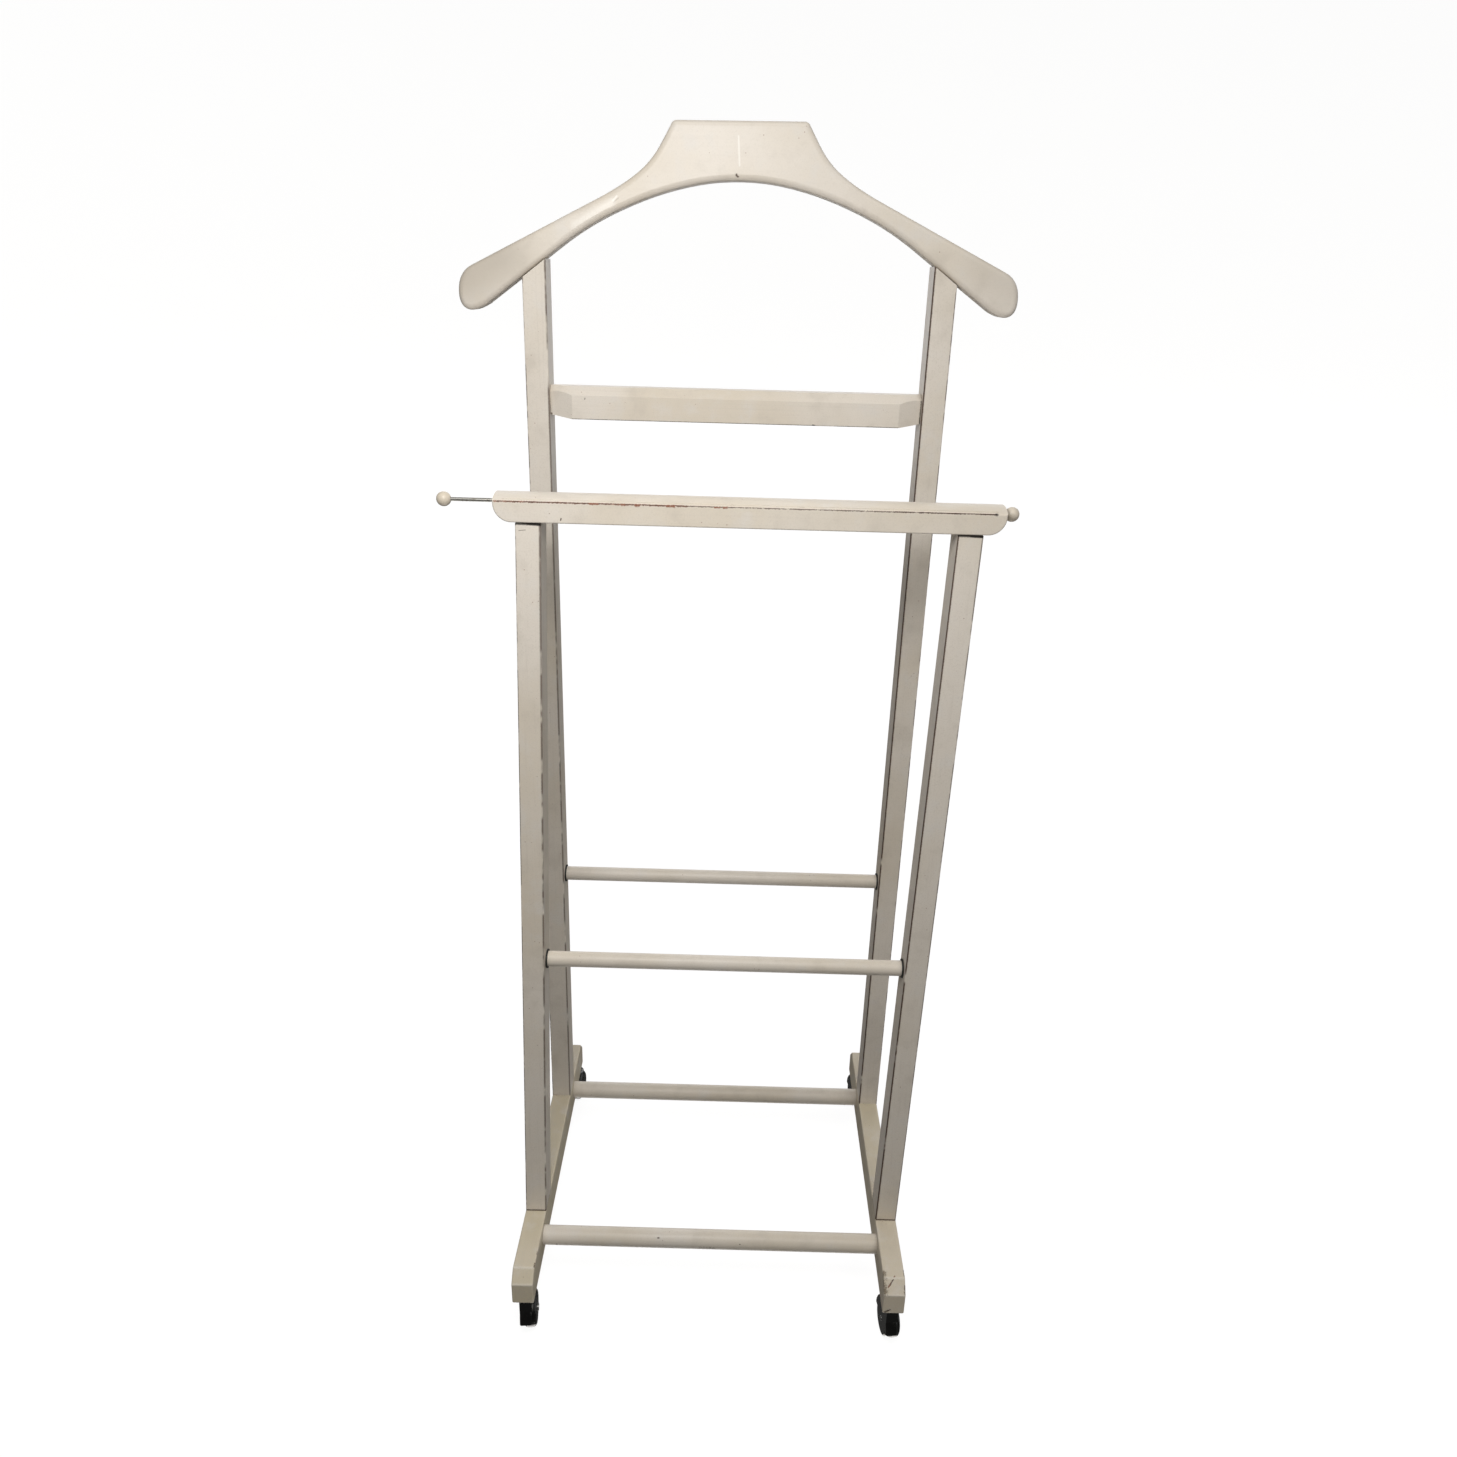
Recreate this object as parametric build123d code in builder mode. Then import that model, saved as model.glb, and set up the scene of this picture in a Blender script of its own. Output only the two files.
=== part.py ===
from build123d import *
import os
from math import cos, sin, radians

os.makedirs("parts", exist_ok=True)

# Valet stand, millimetres. X to the stand's right as seen from the front, Y to the back, Z up.
# The floor is z = 0. Origin: centre of the footprint box at floor level.

# ---- feet and casters ----
foot_length = 344.0
foot_width = 20.0
foot_height = 33.0
foot_bevel = 10.5
caster_height = 47.0
foot_bottom = caster_height
foot_top = foot_bottom + foot_height
half_inner = 161.5                       # stand centre to the inner faces of feet and posts
half_outer = half_inner + foot_width
side_centre = (half_inner + half_outer) / 2
foot_mid_y = -8.8                        # feet sit a little forward because the casters trail back
foot_front = foot_mid_y - foot_length / 2
foot_back = foot_mid_y + foot_length / 2
caster_inset = 13.0                      # swivel axis from the end of the foot
edge_round = 0.9
foot_round = 1.4                         # the feet are more worn

# ---- posts ----
post_width = 20.0
post_depth = 28.0
rear_face = foot_mid_y + 72.7            # front faces of the rear posts
front_face_low = foot_mid_y - 93.0       # front faces of the front posts at the feet
front_setback = 22.2                     # how far the front frame leans back at its top
front_rack = 16.0                        # how far the worn front frame leans sideways at its top
rear_rack = 3.0                          # sideways lean of the rear frame at its top
tenon_width = 10.0
tenon_depth = 16.0
tenon_long = 18.0
top_tenon_long = 7.5
fit_gap = 0.1                            # glue gap around tenons, dowels and pins
top_gap = 1.0                            # open line between the front post tops and the bar

# ---- front bar ----
bar_half = 198.0
bar_depth = 38.0
bar_height = 16.4
bar_bottom = 753.3
bar_top = bar_bottom + bar_height
bar_overhang = 2.0
bar_crown = 4.0                          # rise of the crowned top above the front edge
bar_crest = 12.5                         # crest of the crown behind the front face
bar_back_drop = 2.0                      # the back edge lies this far below the front edge
bar_end_round = 14.0
lip_back = 2.8                           # fine groove just behind the front lip
lip_groove = 1.0
lip_stop = 7.0

# ---- tie rods ----
rod_radius = 1.5
ball_radius = 5.8
rod_bore = 3.4
rod_bore_depth = 186.0
rod_height = 766.0
rod_back = 22.5                          # rod axis behind the front of the bar
bush_length = 12.0
bush_flange = 1.2
bush_flange_radius = 4.6
rod_length = 180.0
stop_length = 8.0
ball_closed = bar_half + bush_flange + 6.6   # ball centre from the bar centre with the rod home
left_rod_out = 34.5                          # the left rod rests partly pulled out

# ---- upper rail ----
rail_depth = 22.0
rail_height = 27.2
rail_bottom = 815.4
rail_forward = 4.0                       # the rail stands proud of the post fronts
rail_bevel = 7.3
bevel_stop = 19.0                        # length of each curved run-out
bevel_dip = 5.5                          # the bevel cuts this much deeper at the ends
rail_nose = 20.0                         # length of the tapered nose at each end, seen from above
rail_nose_depth = 8.5
rail_lift = 3.0                          # the underside rises this much under each nose
rail_pin_y = 12.5                        # rail pins behind the post fronts

# ---- yoke ----
yoke_top = 1049.0
yoke_thick = 24.0
yoke_round = 4.5
yoke_shift = 1.7                         # the yoke sits a little to the right
yoke_tilt = 0.65                         # and tips a little, right end up
arm_x = 150.0                            # the arm's underside meets the posts in a straight slope
arm_z = 953.5
arm_slope = -0.7357

# ---- dowel rails ----
mid_dowel_radius = 7.0
low_dowel_radius = 9.0
mid_dowel_z = 356.0
low_dowel_z = foot_top - 15.0
low_front_y = foot_mid_y - 108.5
low_rear_y = foot_mid_y + 101.0
dowel_seat = 11.0                        # how deep each rail is let into its post or foot
washer_thick = 1.3
washer_radius = 8.6


def front_run(z):
    return (z - foot_top) / (bar_bottom - foot_top)


def front_x(z):
    """Sideways shift of the front frame at height z."""
    return front_rack * front_run(z)


def rear_x(z):
    """Sideways shift of the rear frame at height z."""
    return rear_rack * (z - foot_top) / (arm_z - foot_top)


def front_y(z):
    """Front face of the front posts at height z."""
    return front_face_low + front_setback * front_run(z)


def tenon_spots(s):
    """Centres of the front and rear post tenons in the foot on side s."""
    return [(s * side_centre, front_y(foot_top) + post_mid), (s * side_centre, rear_tenon_y)]


def save(part, name):
    part.label = name
    export_step(part, f"parts/{name}.step")


bar_x = front_x(bar_bottom)
bar_front = front_y(bar_bottom) - bar_overhang
rod_y = bar_front + rod_back
post_mid = post_depth / 2
rear_mid = rear_face + post_mid
rear_tenon_y = rear_mid - 4.5            # rear tenon set forward, clear of the bottom dowel
front_mid_y = front_y(mid_dowel_z) + post_mid
caster_ys = {"front": foot_front + caster_inset, "rear": foot_back - caster_inset}
sides = {"left": -1, "right": 1}
rail_x = rear_x(rail_bottom + rail_height / 2)
rail_pin_spots = [(rear_face + rail_pin_y, rail_bottom + 7), (rear_face + rail_pin_y, rail_bottom + 18)]



def arm_under(x):
    """Underside of the level yoke's arm at x."""
    return arm_z + arm_slope * (abs(x) - arm_x)


def tipped(x, z):
    """A point of the level yoke once it is tipped and shifted into place."""
    a = radians(yoke_tilt)
    return (
        x * cos(a) - (z - arm_z) * sin(a) + yoke_shift,
        x * sin(a) + (z - arm_z) * cos(a) + arm_z,
    )


def post_top(s):
    """Centre of the top of the rear post on side s."""
    x = s * side_centre + rear_x(arm_z)
    a = radians(yoke_tilt)
    return x, arm_under(x - yoke_shift) + x * sin(a)


# ================= feet =================
for side, s in sides.items():
    with BuildPart() as foot:
        with BuildSketch(Plane.YZ.offset(s * side_centre)):
            with BuildLine():
                Polyline(
                    (foot_front, foot_bottom),
                    (foot_back, foot_bottom),
                    (foot_back, foot_top - foot_bevel),
                    (foot_back - foot_bevel, foot_top),
                    (foot_front + foot_bevel, foot_top),
                    (foot_front, foot_top - foot_bevel),
                    close=True,
                )
            make_face()
        extrude(amount=foot_width / 2, both=True)
        fillet(foot.edges(), radius=foot_round)
        # mortises for the two posts
        with BuildSketch(Plane.XY.offset(foot_top)):
            with Locations(*tenon_spots(s)):
                Rectangle(tenon_width + 2 * fit_gap, tenon_depth + 2 * fit_gap)
        extrude(amount=-(tenon_long + 1.0), mode=Mode.SUBTRACT)
        # seats for the two bottom dowels, in the inner face
        with BuildSketch(Plane.YZ.offset(s * (half_inner - 1))):
            with Locations((low_front_y, low_dowel_z), (low_rear_y, low_dowel_z)):
                Circle(low_dowel_radius + fit_gap)
        extrude(amount=s * (dowel_seat + 1.5), mode=Mode.SUBTRACT)
        # sockets for the casters
        with BuildSketch(Plane.XY.offset(foot_bottom)):
            with Locations(*[(s * side_centre, y) for y in caster_ys.values()]):
                Circle(4.5)
        extrude(amount=21, mode=Mode.SUBTRACT)
        # countersunk pilot holes for the screws that hold the posts
        with BuildSketch(Plane.XY.offset(foot_bottom)):
            with Locations(*tenon_spots(s)):
                Circle(2.3)
        extrude(amount=15, mode=Mode.SUBTRACT)
        with BuildSketch(Plane.XY.offset(foot_bottom)):
            with Locations(*tenon_spots(s)):
                Circle(4.4)
        extrude(amount=3.4, mode=Mode.SUBTRACT)
    save(foot.part, f"{side}_foot")

# screws up through the feet into the post tenons, one grouped piece
with BuildPart() as foot_screws:
    spots = []
    for s in sides.values():
        spots += tenon_spots(s)
    with BuildSketch(Plane.XY.offset(foot_bottom + 0.4)):
        with Locations(*spots):
            Circle(4.2)
    extrude(amount=2.8)
    with BuildSketch(Plane.XY.offset(foot_bottom + 3.2)):
        with Locations(*spots):
            Circle(1.9)
    extrude(amount=28)
    # cross recess in each head
    with BuildSketch(Plane.XY.offset(foot_bottom + 0.4)):
        with Locations(*spots):
            Rectangle(4.6, 1.0)
            Rectangle(1.0, 4.6)
    extrude(amount=1.5, mode=Mode.SUBTRACT)
save(foot_screws.part, "foot_screws")

# ================= rear posts =================
for side, s in sides.items():
    with BuildPart() as rear_post:
        for z in (foot_top, arm_z + 12):
            with BuildSketch(Plane.XY.offset(z)):
                with Locations((s * side_centre + rear_x(z), rear_mid)):
                    Rectangle(post_width, post_depth)
        loft()
        fillet(rear_post.edges().filter_by(lambda e: e.length > 400), radius=edge_round)
        # top scribed to the yoke's underside
        with BuildSketch(Plane.XZ.offset(-rear_mid)):
            with BuildLine():
                Polyline(
                    tipped(s * (half_inner - 8), arm_under(half_inner - 8) - 0.3),
                    tipped(s * (half_outer + 8), arm_under(half_outer + 8) - 0.3),
                    tipped(s * (half_outer + 8), arm_under(half_inner) + 40),
                    tipped(s * (half_inner - 8), arm_under(half_inner) + 40),
                    close=True,
                )
            make_face()
        extrude(amount=post_depth, both=True, mode=Mode.SUBTRACT)
        # bottom tenon
        with BuildSketch(Plane.XY.offset(foot_top)):
            with Locations((s * side_centre, rear_tenon_y)):
                Rectangle(tenon_width, tenon_depth)
        extrude(amount=-tenon_long)
        # screw pilot in the tenon
        with BuildSketch(Plane.XY.offset(foot_top - tenon_long)):
            with Locations((s * side_centre, rear_tenon_y)):
                Circle(2.0)
        extrude(amount=22, mode=Mode.SUBTRACT)
        # bore for the yoke pin
        pin_x, pin_z = post_top(s)
        with BuildSketch(Plane.XY.offset(pin_z - 28)):
            with Locations((pin_x, rear_face + yoke_thick / 2)):
                Circle(4.0 + fit_gap)
        extrude(amount=60, mode=Mode.SUBTRACT)
        # seat for the middle dowel
        with BuildSketch(Plane.YZ.offset(s * (half_inner - 1) + rear_x(mid_dowel_z))):
            with Locations((rear_mid, mid_dowel_z)):
                Circle(mid_dowel_radius + fit_gap)
        extrude(amount=s * (dowel_seat + 1.5), mode=Mode.SUBTRACT)
        # bores for the rail pins
        with BuildSketch(Plane.YZ.offset(s * (half_inner - 1) + rail_x)):
            with Locations(*rail_pin_spots):
                Circle(3.0 + fit_gap)
        extrude(amount=s * 12.5, mode=Mode.SUBTRACT)
    save(rear_post.part, f"{side}_rear_post")

# ================= front posts =================
for side, s in sides.items():
    with BuildPart() as front_post:
        with BuildSketch(Plane.XY.offset(foot_top)):
            with Locations((s * side_centre, front_y(foot_top) + post_mid)):
                Rectangle(post_width, post_depth)
        with BuildSketch(Plane.XY.offset(bar_bottom - top_gap)):
            with Locations((s * side_centre + front_x(bar_bottom - top_gap),
                            front_y(bar_bottom - top_gap) + post_mid)):
                Rectangle(post_width, post_depth)
        loft()
        fillet(front_post.edges().filter_by(lambda e: e.length > 400), radius=edge_round)
        # tenons
        with BuildSketch(Plane.XY.offset(foot_top)):
            with Locations((s * side_centre, front_y(foot_top) + post_mid)):
                Rectangle(tenon_width, tenon_depth)
        extrude(amount=-tenon_long)
        with BuildSketch(Plane.XY.offset(bar_bottom - top_gap)):
            with Locations((s * side_centre + bar_x, bar_front + 10)):
                Rectangle(tenon_width, 10)
        extrude(amount=top_gap + top_tenon_long)
        # screw pilot in the bottom tenon
        with BuildSketch(Plane.XY.offset(foot_top - tenon_long)):
            with Locations((s * side_centre, front_y(foot_top) + post_mid)):
                Circle(2.0)
        extrude(amount=22, mode=Mode.SUBTRACT)
        # seat for the middle dowel
        with BuildSketch(Plane.YZ.offset(s * (half_inner - 2) + front_x(mid_dowel_z))):
            with Locations((front_mid_y, mid_dowel_z)):
                Circle(mid_dowel_radius + fit_gap)
        extrude(amount=s * (dowel_seat + 2.5), mode=Mode.SUBTRACT)
    save(front_post.part, f"{side}_front_post")

# ================= yoke =================
# the level blank, centred, before it is tipped into place
with BuildPart() as yoke_blank:
    with BuildSketch(Plane.XZ.offset(-rear_face)):
        with BuildLine():
            top = Line((0, yoke_top), (54, yoke_top))
            neck = Spline(
                (54, yoke_top), (60, 1038.6), (69.5, 1023.9), (80, 1013.2), (95, 1002.8), (115, 992.0),
                tangents=((1, -1.75), (1, -0.483)),
            )
            arm = Line((115, 992.0), (223.0, 939.8))
            tip = Spline((223.0, 939.8), (230.5, 933.6), (234.9, 918.2), tangents=((1, -0.483), (0, -1)))
            heel = Spline((234.9, 918.2), (230.0, 906.2), (211.5, 909.6), tangents=((0, -1), (-1, 0.6)))
            under = Line((211.5, 909.6), (arm_x, arm_z))
            arch = Spline(
                (arm_x, arm_z), (120, 972.6), (90, 986.6), (60, 997.0), (30, 1003.6), (0, 1005.8),
                tangents=((-1, -arm_slope), (-1, 0)),
            )
            close_line = Line((0, 1005.8), (0, yoke_top))
        make_face()
        mirror(about=Plane.YZ)
    extrude(amount=-yoke_thick)
    corners = yoke_blank.edges().filter_by(Axis.Y).filter_by_position(Axis.Z, yoke_top - 1, yoke_top + 1)
    fillet(corners, radius=5)
    upper = yoke_blank.edges().filter_by(lambda e: abs(e.tangent_at(0.5).Y) < 0.5
                                         and e.center().Z > arm_under(min(abs(e.center().X), 213)) + 6)
    fillet(upper, radius=yoke_round)

to_seat = Location((yoke_shift, 0, arm_z)) * Location((0, 0, 0), (0, -yoke_tilt, 0)) * Location((0, 0, -arm_z))
with BuildPart() as yoke:
    add(yoke_blank.part.moved(to_seat))
    # bores for the yoke pins
    for s in sides.values():
        pin_x, pin_z = post_top(s)
        with BuildSketch(Plane.XY.offset(pin_z - 20)):
            with Locations((pin_x, rear_face + yoke_thick / 2)):
                Circle(4.0 + fit_gap)
        extrude(amount=38, mode=Mode.SUBTRACT)
save(yoke.part, "yoke")

with BuildPart() as yoke_pins:
    for s in sides.values():
        pin_x, pin_z = post_top(s)
        with BuildSketch(Plane.XY.offset(pin_z - 27)):
            with Locations((pin_x, rear_face + yoke_thick / 2)):
                Circle(4.0)
        extrude(amount=44)
save(yoke_pins.part, "yoke_pins")

# ================= upper rail =================
rail_front = rear_face - rail_forward
rail_top = rail_bottom + rail_height
with BuildPart() as upper_rail:
    with BuildSketch(Plane.XY.offset(rail_bottom)):
        with Locations((rail_x, rail_front + rail_depth / 2)):
            Rectangle(2 * half_inner - 0.2, rail_depth)
    extrude(amount=rail_height)
    fillet(upper_rail.edges().filter_by(Axis.X), radius=edge_round)
    # bevel along the top front edge, which dips in a curve towards each end
    bevel_plane = Plane(
        origin=(rail_x, rail_front, rail_top),
        x_dir=(1, 0, 0),
        z_dir=(0, 1, 1),
    )
    cut_in = rail_bevel * 0.7071
    full = half_inner - bevel_stop
    end = half_inner + 2
    low = cut_in + bevel_dip
    with BuildSketch(bevel_plane):
        with BuildLine():
            Line((-full, cut_in), (full, cut_in))
            ThreePointArc((full, cut_in), (full + 13, cut_in + 2.2), (end, low))
            Line((end, low), (end, -9))
            Line((end, -9), (-end, -9))
            Line((-end, -9), (-end, low))
            ThreePointArc((-end, low), (-full - 13, cut_in + 2.2), (-full, cut_in))
        make_face()
    extrude(amount=40, both=True, mode=Mode.SUBTRACT)
    # tapered nose at each end
    with BuildSketch(Plane.XY.offset(rail_bottom - 1)):
        for s in sides.values():
            with BuildLine():
                Polyline(
                    (rail_x + s * (half_inner - rail_nose), rail_front),
                    (rail_x + s * (half_inner - rail_nose), rail_front - 2),
                    (rail_x + s * (half_inner + 1), rail_front - 2),
                    (rail_x + s * (half_inner + 1), rail_front + rail_nose_depth * (1 + 1 / rail_nose)),
                    close=True,
                )
            make_face()
    extrude(amount=rail_height + 2, mode=Mode.SUBTRACT)
    # the underside rises under each nose
    with BuildSketch(Plane.XZ.offset(2 - rail_front)):
        for s in sides.values():
            with BuildLine():
                Polyline(
                    (rail_x + s * (half_inner - rail_nose), rail_bottom),
                    (rail_x + s * (half_inner + 1), rail_bottom + rail_lift * (1 + 1 / rail_nose)),
                    (rail_x + s * (half_inner + 1), rail_bottom - 1),
                    (rail_x + s * (half_inner - rail_nose), rail_bottom - 1),
                    close=True,
                )
            make_face()
    extrude(amount=-(rail_depth + 4), mode=Mode.SUBTRACT)
    # pin bores in both ends
    for s in sides.values():
        with BuildSketch(Plane.YZ.offset(s * (half_inner + 1) + rail_x)):
            with Locations(*rail_pin_spots):
                Circle(3.0 + fit_gap)
        extrude(amount=-s * 14, mode=Mode.SUBTRACT)
save(upper_rail.part, "upper_rail")

with BuildPart() as rail_pins:
    for s in sides.values():
        with BuildSketch(Plane.YZ.offset(s * (half_inner - 12) + rail_x)):
            with Locations(*rail_pin_spots):
                Circle(3.0)
        extrude(amount=s * 23)
save(rail_pins.part, "rail_pins")

# ================= front bar =================
with BuildPart() as front_bar:
    # section: upright front, crowned top that falls away towards the back
    with BuildSketch(Plane.YZ.offset(bar_x)):
        with BuildLine():
            ThreePointArc(
                (bar_front, bar_top),
                (bar_front + bar_crest, bar_top + bar_crown),
                (bar_front + bar_depth, bar_top - bar_back_drop),
            )
            Line((bar_front + bar_depth, bar_top - bar_back_drop), (bar_front + bar_depth, bar_bottom))
            Line((bar_front + bar_depth, bar_bottom), (bar_front, bar_bottom))
            Line((bar_front, bar_bottom), (bar_front, bar_top))
        make_face()
    extrude(amount=bar_half, both=True)
    end_edges = front_bar.edges().filter_by(Axis.Y).group_by(Axis.Z)[0]
    fillet(end_edges, radius=bar_end_round)
    upright = front_bar.faces().filter_by(Axis.Y).sort_by(Axis.Y)
    fillet(upright[0].edges(), radius=1.2)
    fillet(front_bar.faces().filter_by(Axis.Y).sort_by(Axis.Y)[-1].edges(), radius=0.6)
    # fine stopped groove that sets off the rounded front lip
    with BuildSketch(Plane.XY.offset(bar_top + bar_crown + 1)):
        with Locations((bar_x, bar_front + lip_back)):
            SlotOverall(2 * (bar_half - lip_stop), lip_groove)
    extrude(amount=-(bar_crown + 1 - lip_back * 0.55 + 0.8), mode=Mode.SUBTRACT)
    # mortises for the post tops
    with BuildSketch(Plane.XY.offset(bar_bottom)):
        with Locations((bar_x + side_centre, bar_front + 10), (bar_x - side_centre, bar_front + 10)):
            Rectangle(tenon_width + 2 * fit_gap, 10 + 2 * fit_gap)
    extrude(amount=top_tenon_long + 0.5, mode=Mode.SUBTRACT)
    # a blind bore for a tie rod from each end
    for s in sides.values():
        with BuildSketch(Plane.YZ.offset(bar_x + s * bar_half)):
            with Locations((rod_y, rod_height)):
                Circle(rod_bore)
        extrude(amount=-s * rod_bore_depth, mode=Mode.SUBTRACT)
save(front_bar.part, "front_bar")

# ================= tie rods =================
for side, s in sides.items():
    rod_out = left_rod_out if side == "left" else 0.0
    ball_x = bar_x + s * (ball_closed + rod_out)
    mouth = bar_x + s * bar_half
    with BuildPart() as bush:
        with BuildSketch(Plane.YZ.offset(mouth)):
            with Locations((rod_y, rod_height)):
                Circle(rod_bore - 0.05)
        extrude(amount=-s * bush_length)
        with BuildSketch(Plane.YZ.offset(mouth)):
            with Locations((rod_y, rod_height)):
                Circle(bush_flange_radius)
        extrude(amount=s * bush_flange)
        with BuildSketch(Plane.YZ.offset(mouth + s * 5)):
            with Locations((rod_y, rod_height)):
                Circle(rod_radius + 0.08)
        extrude(amount=-s * 30, mode=Mode.SUBTRACT)
    save(bush.part, f"{side}_rod_bush")

    with BuildPart() as rod:
        with BuildSketch(Plane.YZ.offset(ball_x - s * 1.5)):
            with Locations((rod_y, rod_height)):
                Circle(rod_radius)
        extrude(amount=-s * rod_length)
        # turned groove that keeps the stop sleeve
        with BuildSketch(Plane.YZ.offset(ball_x - s * (rod_length - 4))):
            with Locations((rod_y, rod_height)):
                Circle(rod_radius + 1)
                Circle(rod_radius - 0.4, mode=Mode.SUBTRACT)
        extrude(amount=s * 1.2, mode=Mode.SUBTRACT)
    save(rod.part, f"{side}_tie_rod")

    with BuildPart() as stop:
        with BuildSketch(Plane.YZ.offset(ball_x - s * (rod_length - 6))):
            with Locations((rod_y, rod_height)):
                Circle(rod_bore - 0.35)
                Circle(rod_radius, mode=Mode.SUBTRACT)
        extrude(amount=s * stop_length)
    save(stop.part, f"{side}_rod_stop")

    with BuildPart() as ball:
        with BuildSketch(Plane.XZ.offset(-rod_y)):
            with BuildLine():
                ThreePointArc(
                    (ball_x - ball_radius, rod_height),
                    (ball_x, rod_height + ball_radius),
                    (ball_x + ball_radius, rod_height),
                )
                Line((ball_x + ball_radius, rod_height), (ball_x - ball_radius, rod_height))
            make_face()
        revolve(axis=Axis((ball_x, rod_y, rod_height), (1, 0, 0)))
        # flat and bore where the rod enters
        with BuildSketch(Plane.YZ.offset(ball_x - s * 5.2)):
            with Locations((rod_y, rod_height)):
                Rectangle(14, 14)
        extrude(amount=-s * 3, mode=Mode.SUBTRACT)
        with BuildSketch(Plane.YZ.offset(ball_x - s * 1.5)):
            with Locations((rod_y, rod_height)):
                Circle(rod_radius)
        extrude(amount=-s * 6, mode=Mode.SUBTRACT)
    save(ball.part, f"{side}_rod_ball")

# ================= dowel rails =================
low_span = half_inner + dowel_seat
dowels = {
    "rear_middle_dowel": (rear_x(mid_dowel_z), rear_mid, mid_dowel_z, mid_dowel_radius),
    "front_middle_dowel": (front_x(mid_dowel_z), front_mid_y, mid_dowel_z, mid_dowel_radius),
    "rear_bottom_dowel": (0.0, low_rear_y, low_dowel_z, low_dowel_radius),
    "front_bottom_dowel": (0.0, low_front_y, low_dowel_z, low_dowel_radius),
}
for name, (x, y, z, r) in dowels.items():
    with BuildPart() as dowel:
        with BuildSketch(Plane.YZ.offset(x)):
            with Locations((y, z)):
                Circle(r)
        extrude(amount=low_span, both=True)
        chamfer(dowel.edges(), length=0.8)
    save(dowel.part, name)

# thin black washers where the middle dowels meet the posts
for frame, (x, y) in {"rear": (rear_x(mid_dowel_z), rear_mid), "front": (front_x(mid_dowel_z), front_mid_y)}.items():
    with BuildPart() as washers:
        for s in sides.values():
            gap = 0.25 if frame == "front" else 0.1
            with BuildSketch(Plane.YZ.offset(x + s * (half_inner - gap))):
                with Locations((y, mid_dowel_z)):
                    Circle(washer_radius)
                    Circle(mid_dowel_radius + 0.05, mode=Mode.SUBTRACT)
            extrude(amount=-s * washer_thick)
    save(washers.part, f"{frame}_dowel_washers")

# ================= casters =================
wheel_radius = 17.0
wheel_width = 12.0
wheel_side = 3.6                         # the wheel runs on one side of the stem
trail = 8.5
axle_radius = 2.0
cap_radius = wheel_radius + 3.2
cheek_radius = wheel_radius - 1.5
room_radius = wheel_radius + 1.2
cheek = 2.6
cheek_gap = 0.6
room_start = wheel_side - wheel_width / 2 - cheek_gap
hood_left = room_start - cheek
hood_right = wheel_side + 2.0
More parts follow.
